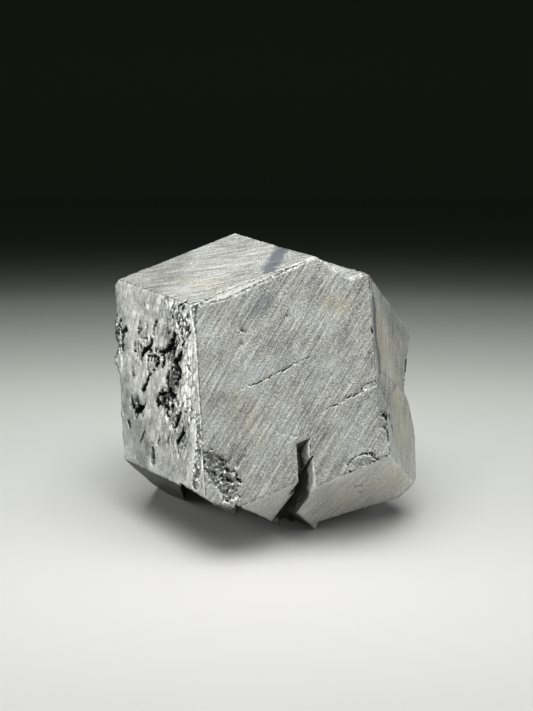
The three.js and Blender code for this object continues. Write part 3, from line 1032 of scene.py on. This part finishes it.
    def _moves(self, count: int, heights: list[np.ndarray]) -> np.ndarray:
        """Turns heights into moves. A corner on an edge moves so that each of its facets gets its height.

        Args:
            count: How many corners there are.
            heights: For each facet, the heights of its corners.

        Returns:
            A move for each corner.
        """
        normals: list[list[np.ndarray]] = [[] for _ in range(count)]
        wanted: list[list[float]] = [[] for _ in range(count)]
        for facet, column in zip(self.facets, heights):
            for index, height in zip(facet.verts, column):
                normals[index].append(facet.normal)
                wanted[index].append(height)
        moves = np.zeros((count, 3))
        for index in range(count):
            if len(wanted[index]) == 1:
                moves[index] = normals[index][0] * wanted[index][0]
            else:
                rows = np.array(normals[index])
                soft = rows @ rows.T + self.corner_give * np.eye(len(rows))
                moves[index] = rows.T @ np.linalg.solve(soft, np.array(wanted[index]))
        return moves


def to_linear(colour: str) -> tuple[float, float, float, float]:
    """Turns an sRGB hex colour into the linear one that a shader wants.

    Args:
        colour: Six hex digits.

    Returns:
        Red, green, blue and alpha.
    """
    shares = [int(colour[i : i + 2], 16) / 255 for i in (0, 2, 4)]
    linear = [s / 12.92 if s <= 0.04045 else ((s + 0.055) / 1.055) ** 2.4 for s in shares]
    return (linear[0], linear[1], linear[2], 1.0)


def add_node(
    tree: Tree, kind: str, inputs: dict[str | int, object] | None = None, **settings: object
) -> bpy.types.Node:
    """Adds a node with its settings and links.

    Args:
        tree: The tree that gets the node.
        kind: The node's type, without ShaderNode.
        inputs: Values or sockets for its inputs.
        settings: Its own settings.

    Returns:
        The node.
    """
    node = tree.nodes.new("ShaderNode" + kind)
    for name, value in settings.items():
        setattr(node, name, value)
    for key, value in (inputs or {}).items():
        if isinstance(value, Socket):
            tree.links.new(value, node.inputs[key])
        else:
            node.inputs[key].default_value = value
    return node


@dataclass(frozen=True)
class Magnetite:
    """Magnetite, an iron oxide with a dull metal lustre, grown faces finely striated.

    To the eye it is an even steel grey that goes pale where a soft light meets a face, with a fine
    salt-and-pepper grain, thin streaks one way on each face, black pits, and in places a bluish or
    a yellow film. Some of its look is painted light and shade: the black in pits, cracks, scratches
    and along some edges, part of the bluish patches, glints and the sparkle of its crystals where
    the surface is granular, pale light on faces the lamps leave dark, and shade in gaps and under it.
    """

    pale: str = "e4e4dc"
    grey: str = "a7a8a2"
    dark: str = "575957"
    # Pale colour of chips, painted light and painted glints.
    pale_chip_glint_light: str = "eceeea"
    # Colour of painted shade, of dark smudges and of cracks.
    shade_smudge_crack_dark: str = "2c2e2b"
    # Colour of painted shade in pits, cracks and scratches, along some edges and between granules.
    pit: str = "0b0c0b"
    # A dark bluish film, and painted shade where a face would reflect the dark surroundings.
    film: str = "4b5560"
    rust: str = "bdb492"
    cool: str = "a3aeb4"
    metallic: float = 0.72
    grain_mm: float = 0.16
    streak_mm: float = 0.22
    sweep_mm: float = 0.85
    cloud_mm: float = 5.0
    blotch_mm: float = 1.6
    granule_mm: float = 0.42
    plate_mm: Point = (1.25, 0.7)
    layer_weights: tuple[float, ...] = (1.35, 0.55, 0.85, 0.45, 0.5)
    cloud_weight: float = 0.75

    def make(self) -> bpy.types.Material:
        """Makes the material.

        Returns:
            The node material.
        """
        material = bpy.data.materials.new("magnetite_grown_faces")
        material.use_nodes = True
        tree = material.node_tree
        tree.nodes.clear()
        place = add_node(tree, "TexCoord").outputs["Object"]
        streaks = add_node(tree, "UVMap", uv_map="streaks").outputs["UV"]
        marks = {
            name: add_node(tree, "Attribute", attribute_name=name).outputs["Fac"]
            for name in MARKS
        }
        per_mm = 1 / METRES_PER_MM
        grain = self._noise(tree, place, per_mm / self.grain_mm, 2.0, 0.6)
        speck = self._noise(tree, place, per_mm / (1.9 * self.grain_mm), 3.0, 0.7)
        cloud = self._noise(tree, place, per_mm / self.cloud_mm, 4.0, 0.6)
        blotch = self._noise(tree, place, per_mm / self.blotch_mm, 3.0, 0.6)
        streak = self._streaks(tree, streaks, (0.16, 1 / self.streak_mm), 3.0)
        hatch = self._streaks(tree, streaks, (0.5, 0.6 / self.streak_mm), 2.0)
        sweep = self._streaks(tree, streaks, (0.13, 1 / self.sweep_mm), 4.0)
        granule = add_node(
            tree, "TexVoronoi", {"Vector": place, "Scale": per_mm / self.granule_mm}, feature="F1"
        )
        plates = add_node(
            tree,
            "Mapping",
            {"Vector": streaks, "Scale": (1 / self.plate_mm[0], 1 / self.plate_mm[1], 1.0)},
        ).outputs[0]
        plates = self._nudge(tree, plates, speck)
        plate = add_node(tree, "TexVoronoi", {"Vector": plates, "Scale": 1.0}, feature="F1").outputs["Color"]
        plate = add_node(tree, "SeparateColor", {"Color": plate}).outputs[0]
        gap = add_node(
            tree, "TexVoronoi", {"Vector": plates, "Scale": 1.0}, feature="DISTANCE_TO_EDGE"
        ).outputs[0]
        crack = self._share(tree, gap, 0.15, 0.02)
        crack = self._times(tree, crack, self._share(tree, blotch, 0.4, 0.55))
        crack = self._times(tree, crack, marks["crazed"])
        tone = self._tone(tree, marks["sleek"], (grain, speck, streak, hatch, sweep), cloud)
        uneven = self._times(tree, self._plus(tree, plate, -0.5), marks["crazed"])
        tone = self._plus(tree, tone, self._times(tree, uneven, 0.7))
        patchy = self._times(tree, self._plus(tree, blotch, -0.5), marks["sleek"])
        tone = self._plus(tree, tone, self._times(tree, patchy, 1.3))
        # Chips and painted light make the tone paler.
        tone = self._plus(tree, tone, self._times(tree, marks["chips_and_painted_light"], 0.4))
        # Painted glints on sleek faces.
        painted_glint = self._times(tree, self._share(tree, speck, 0.62, 0.7), marks["sleek"])
        colour = self._ramp(tree, tone, ((0.0, self.dark), (0.5, self.grey), (1.0, self.pale)))
        # Chips and painted light, paler still.
        colour = self._mix(tree, self._times(tree, marks["chips_and_painted_light"], 0.3), colour, to_linear(self.pale_chip_glint_light))
        colour = self._mix(tree, self._times(tree, painted_glint, 0.8), colour, to_linear(self.pale_chip_glint_light))
        cool = self._share(tree, cloud, 0.52, 0.72)
        colour = self._mix(tree, self._times(tree, cool, 0.35), colour, to_linear(self.cool))
        rusty = self._times(tree, marks["rusty"], self._share(tree, sweep, 0.36, 0.62))
        colour = self._mix(tree, self._times(tree, rusty, 0.6), colour, to_linear(self.rust))
        # Dark bluish film, and painted shade.
        colour = self._mix(tree, self._times(tree, marks["dusky"], 0.75), colour, to_linear(self.film))
        # Where granular: painted glints and dark flakes, with painted shade between the granules.
        sparkle = add_node(tree, "SeparateColor", {"Color": granule.outputs["Color"]}).outputs[0]
        granule_glints_and_shade = self._ramp(tree, sparkle, ((0.0, "1e201f"), (0.55, "7c7e7a"), (1.0, "e8eae6")))
        between = self._share(tree, granule.outputs["Distance"], 0.42, 0.7)
        granule_glints_and_shade = self._mix(tree, self._times(tree, between, 0.65), granule_glints_and_shade, to_linear(self.pit))
        colour = self._mix(tree, self._times(tree, marks["granular"], 0.85), colour, granule_glints_and_shade)
        # Painted shade, and dark smudges.
        colour = self._mix(tree, marks["shaded"], colour, to_linear(self.shade_smudge_crack_dark))
        colour = self._mix(tree, self._times(tree, crack, 0.8), colour, to_linear(self.shade_smudge_crack_dark))
        # Painted shade in pits, cracks and scratches, and along some edges.
        hollow = self._share(tree, marks["pit"], 0.15, 0.7)
        colour = self._mix(tree, hollow, colour, to_linear(self.pit))
        wanted = {"Value": streak, "From Min": 0.3, "From Max": 0.7, "To Min": 0.4, "To Max": 0.56}
        rough = add_node(tree, "MapRange", wanted).outputs[0]
        rough = self._plus(tree, rough, self._times(tree, marks["sleek"], -0.1))
        rough = self._blend(tree, marks["granular"], rough, 0.3)
        rough = self._blend(tree, hollow, rough, 0.85)
        shader = add_node(
            tree,
            "BsdfPrincipled",
            {
                "Base Color": colour,
                "Metallic": self.metallic,
                "Roughness": rough,
                "Normal": self._bumps(tree, grain, speck, streak, granule.outputs["Distance"], marks),
            },
        )
        add_node(tree, "OutputMaterial", {"Surface": shader.outputs["BSDF"]})
        return material

    def _noise(
        self, tree: Tree, place: Socket, scale: float, detail: float, rough: float
    ) -> Socket:
        """Gives an even noise of this scale."""
        wanted = {"Vector": place, "Scale": scale, "Detail": detail, "Roughness": rough}
        return add_node(tree, "TexNoise", wanted).outputs[0]

    def _streaks(
        self, tree: Tree, streaks: Socket, scale: Point, detail: float
    ) -> Socket:
        """Gives a noise that is drawn out along a face's striations."""
        stretched = add_node(tree, "Mapping", {"Vector": streaks, "Scale": (*scale, 1.0)}).outputs[0]
        return self._noise(tree, stretched, 1.0, detail, 0.6)

    def _tone(
        self,
        tree: Tree,
        sleek: Socket,
        layers: tuple[Socket, ...],
        cloud: Socket,
    ) -> Socket:
        """Adds up the layers that make a place lighter or darker, weaker where the face is sleek."""
        total: Socket | float = -0.5 * sum(self.layer_weights)
        for layer, weight in zip(layers, self.layer_weights):
            wanted = {0: layer, 1: weight, 2: total}
            total = add_node(tree, "Math", wanted, operation="MULTIPLY_ADD").outputs[0]
        total = self._times(tree, total, self._plus(tree, self._times(tree, sleek, -0.35), 1.0))
        total = self._plus(tree, total, self._times(tree, cloud, self.cloud_weight))
        return self._plus(tree, total, 0.5 - 0.5 * self.cloud_weight)

    def _ramp(
        self, tree: Tree, value: Socket, stops: tuple[tuple[float, str], ...]
    ) -> Socket:
        """Turns a value into a colour through a few stops."""
        node = add_node(tree, "ValToRGB", {"Fac": value})
        ramp = node.color_ramp
        while len(ramp.elements) < len(stops):
            ramp.elements.new(1.0)
        for element, (position, colour) in zip(ramp.elements, stops):
            element.position = position
            element.color = to_linear(colour)
        return node.outputs["Color"]

    def _mix(
        self,
        tree: Tree,
        share: Socket,
        first: Socket,
        second: Socket | tuple[float, float, float, float],
    ) -> Socket:
        """Mixes two colours."""
        node = add_node(tree, "Mix", {0: share, 6: first, 7: second}, data_type="RGBA")
        return node.outputs[2]

    def _blend(
        self, tree: Tree, share: Socket, first: Socket, second: float
    ) -> Socket:
        """Mixes a value with a number."""
        return add_node(tree, "Mix", {0: share, 2: first, 3: second}, data_type="FLOAT").outputs[0]

    def _times(self, tree: Tree, value: Socket, other: Socket | float) -> Socket:
        """Multiplies two values."""
        return add_node(tree, "Math", {0: value, 1: other}, operation="MULTIPLY").outputs[0]

    def _plus(
        self, tree: Tree, value: Socket, other: Socket | float
    ) -> Socket:
        """Adds two values."""
        return add_node(tree, "Math", {0: value, 1: other}, operation="ADD").outputs[0]

    def _nudge(
        self, tree: Tree, place: Socket, by: Socket
    ) -> Socket:
        """Pushes places about a little, so that what is drawn there is ragged."""
        push = self._times(tree, self._plus(tree, by, -0.5), 0.9)
        return add_node(tree, "VectorMath", {0: place, 1: push}, operation="ADD").outputs[0]

    def _share(
        self, tree: Tree, value: Socket, low: float, high: float
    ) -> Socket:
        """Gives 0 where the value is low, 1 where it is high, and a smooth step between."""
        wanted = {"Value": value, "From Min": low, "From Max": high}
        return add_node(tree, "MapRange", wanted, interpolation_type="SMOOTHSTEP").outputs[0]

    def _bumps(
        self,
        tree: Tree,
        grain: Socket,
        speck: Socket,
        streak: Socket,
        granule: Socket,
        marks: dict[str, Socket],
    ) -> Socket:
        """Stacks the fine relief: grain, striations, and granules where the surface is granular."""
        softer = self._plus(tree, self._times(tree, marks["sleek"], -0.6), 1.0)
        layers = (
            (grain, 0.03, softer),
            (speck, 0.04, softer),
            (streak, 0.03, 1.0),
            (granule, 0.16, marks["granular"]),
        )
        below: dict[str, Socket] = {}
        for height, depth_mm, strength in layers:
            wanted = {"Height": height, "Distance": depth_mm * METRES_PER_MM, "Strength": strength}
            below = {"Normal": add_node(tree, "Bump", wanted | below).outputs[0]}
        return below["Normal"]


@dataclass(frozen=True)
class Floor:
    """A board under the specimen: pale in front, with painted shade that takes it almost to black with
    distance, as light falls off.

    Attributes:
        half_size: Half of its side.
        middle: The middle of the pale part.
        sideways: How much faster the paint changes across than away: under 1 draws the pale part out.
        stops: Distance from the middle of the pale part, and the paint's colour there, painted shade
            included.
    """

    half_size: float = 900.0
    middle: Point = (0.0, -30.0)
    sideways: float = 0.5
    stops: tuple[tuple[float, str], ...] = (
        (0.0, "b0afad"),
        (20.0, "a5a5a2"),
        (38.0, "9e9f9c"),
        (56.0, "989a95"),
        (78.0, "7c7e79"),
        (108.0, "393c38"),
        (125.0, "181b17"),
        (141.0, "0a0c09"),
        (175.0, "080a06"),
        (395.0, "14170f"),
    )

    def build(self) -> bpy.types.Object:
        """Builds the board and its paint.

        Returns:
            The floor object.
        """
        bm = bmesh.new()
        bmesh.ops.create_grid(bm, x_segments=1, y_segments=1, size=self.half_size * METRES_PER_MM)
        mesh = bpy.data.meshes.new("floor")
        bm.to_mesh(mesh)
        bm.free()
        mesh.materials.append(self._paint_with_falloff_shade())
        floor = bpy.data.objects.new("floor", mesh)
        bpy.context.scene.collection.objects.link(floor)
        return floor

    def _paint_with_falloff_shade(self) -> bpy.types.Material:
        """Makes the matt paint with its painted falloff shade, in long rings round the middle of the pale
        part.
        """
        material = bpy.data.materials.new("matt_board_with_painted_falloff")
        material.use_nodes = True
        tree = material.node_tree
        tree.nodes.clear()
        place = add_node(tree, "TexCoord").outputs["Object"]
        scale = 1 / METRES_PER_MM
        moved = add_node(
            tree,
            "Mapping",
            {
                "Vector": place,
                "Location": (-self.middle[0] * self.sideways, -self.middle[1], 0.0),
                "Scale": (scale * self.sideways, scale, 0.0),
            },
        )
        out = add_node(tree, "VectorMath", {0: moved.outputs[0]}, operation="LENGTH").outputs["Value"]
        reach = self.stops[-1][0]
        share = add_node(tree, "Math", {0: out, 1: reach}, operation="DIVIDE").outputs[0]
        node = add_node(tree, "ValToRGB", {"Fac": share})
        node.color_ramp.interpolation = "B_SPLINE"
        while len(node.color_ramp.elements) < len(self.stops):
            node.color_ramp.elements.new(1.0)
        for element, (distance, colour) in zip(node.color_ramp.elements, self.stops):
            element.position = distance / reach
            element.color = to_linear(colour)
        shader = add_node(tree, "BsdfDiffuse", {"Color": node.outputs["Color"]})
        add_node(tree, "OutputMaterial", {"Surface": shader.outputs["BSDF"]})
        return material


@dataclass(frozen=True)
class SoftLight:
    """A wide soft light aimed at the crystal.

    Attributes:
        name: Its name.
        place: Where its middle is, in millimetres.
        size: Its two sides.
        power: Its power in watts.
    """

    name: str
    place: tuple[float, float, float]
    size: Point
    power: float

    def build(self, aim: Vector) -> None:
        """Adds the light.

        Args:
            aim: The point that it faces, in millimetres.
        """
        lamp = bpy.data.lights.new(self.name, "AREA")
        lamp.shape = "RECTANGLE"
        lamp.size = self.size[0] * METRES_PER_MM
        lamp.size_y = self.size[1] * METRES_PER_MM
        lamp.energy = self.power
        light = bpy.data.objects.new(self.name, lamp)
        place = Vector(self.place)
        light.location = place * METRES_PER_MM
        light.rotation_mode = "QUATERNION"
        light.rotation_quaternion = (aim - place).to_track_quat("-Z", "Y")
        bpy.context.scene.collection.objects.link(light)


@dataclass(frozen=True)
class Studio:
    """The lights, the air and the camera round the specimen."""

    aim: tuple[float, float, float] = CrystalAxes.centre
    camera_back: float = 234.84
    camera_rise: float = 88.67
    camera_down_deg: float = 20.0
    lens: float = 100.0
    air: str = "0c0f0c"
    lights: tuple[SoftLight, ...] = (
        SoftLight("overhead", (0.0, 0.0, 420.0), (420.0, 420.0), 3.94),
        SoftLight("behind_top", (0.0, 330.0, 300.0), (320.0, 200.0), 0.08),
        SoftLight("left_card", (-380.0, -40.0, 120.0), (260.0, 260.0), 0.98),
        SoftLight("right_card", (380.0, -60.0, 160.0), (260.0, 260.0), 0.7),
        SoftLight("front_low", (0.0, -420.0, 80.0), (300.0, 200.0), 0.18),
        SoftLight("left_front", (-300.0, -280.0, 140.0), (220.0, 220.0), 0.06),
    )

    def build(self) -> None:
        """Sets the camera, the lights, the air and the picture's plain colour handling."""
        scene = bpy.context.scene
        camera = bpy.data.objects.new("camera", bpy.data.cameras.new("camera"))
        camera.data.lens = self.lens
        camera.data.clip_start = 0.01
        camera.data.clip_end = 10.0
        place = Vector(self.aim) + Vector((0.0, -self.camera_back, self.camera_rise))
        camera.location = place * METRES_PER_MM
        camera.rotation_euler = (math.radians(90.0 - self.camera_down_deg), 0.0, 0.0)
        scene.collection.objects.link(camera)
        scene.camera = camera
        for light in self.lights:
            light.build(Vector(self.aim))
        world = bpy.data.worlds.new("air")
        world.use_nodes = True
        background = world.node_tree.nodes["Background"]
        background.inputs["Color"].default_value = to_linear(self.air)
        scene.world = world
        scene.view_settings.view_transform = "Standard"
        scene.view_settings.look = "None"
        scene.view_settings.exposure = 0.0


def main() -> None:
    """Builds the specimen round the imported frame, then its floor and studio."""
    logging.basicConfig(level=logging.INFO, format="%(name)s: %(message)s")
    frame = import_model()
    Studio().build()
    crystal = CrystalBody(frame["nodes"][CAD_NODE])
    surface = crystal.build()
    surface.data.materials.append(Magnetite().make())
    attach(surface, "root")
    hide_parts(CAD_NODE)
    LOG.info("%s: %d facets, %d triangles", surface.name, len(crystal.facets), len(surface.data.polygons))
    floor = Floor().build()
    LOG.info("%s: %d face", floor.name, len(floor.data.polygons))


if __name__ == "__main__":
    main()
